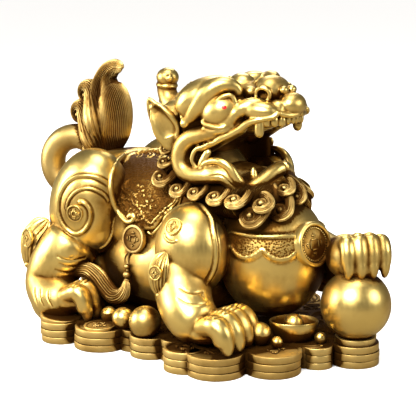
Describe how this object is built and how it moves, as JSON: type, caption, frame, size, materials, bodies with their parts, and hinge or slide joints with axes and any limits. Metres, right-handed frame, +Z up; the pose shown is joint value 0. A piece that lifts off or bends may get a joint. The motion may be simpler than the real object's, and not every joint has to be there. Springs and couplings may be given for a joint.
{
  "type": "pixiu figure",
  "caption": "Cast brass pixiu, an open-mouthed guardian beast crouching on a heap of coins with its left forepaw on a ball, standing on its flat underside.",
  "frame": {"origin": "on the flat underside of the coin heap, below the middle of the beast", "axes": "+Z up, +X the way the beast faces, +Y its left"},
  "size_m": [0.401, 0.2578, 0.2594],
  "materials": {
    "brass": "cast and brushed golden brass, polished on the high places, with dark brown patina in the carving"
  },
  "bodies": {
    "root": {"pixiu_figure": "brass"}
  },
  "joints": []
}
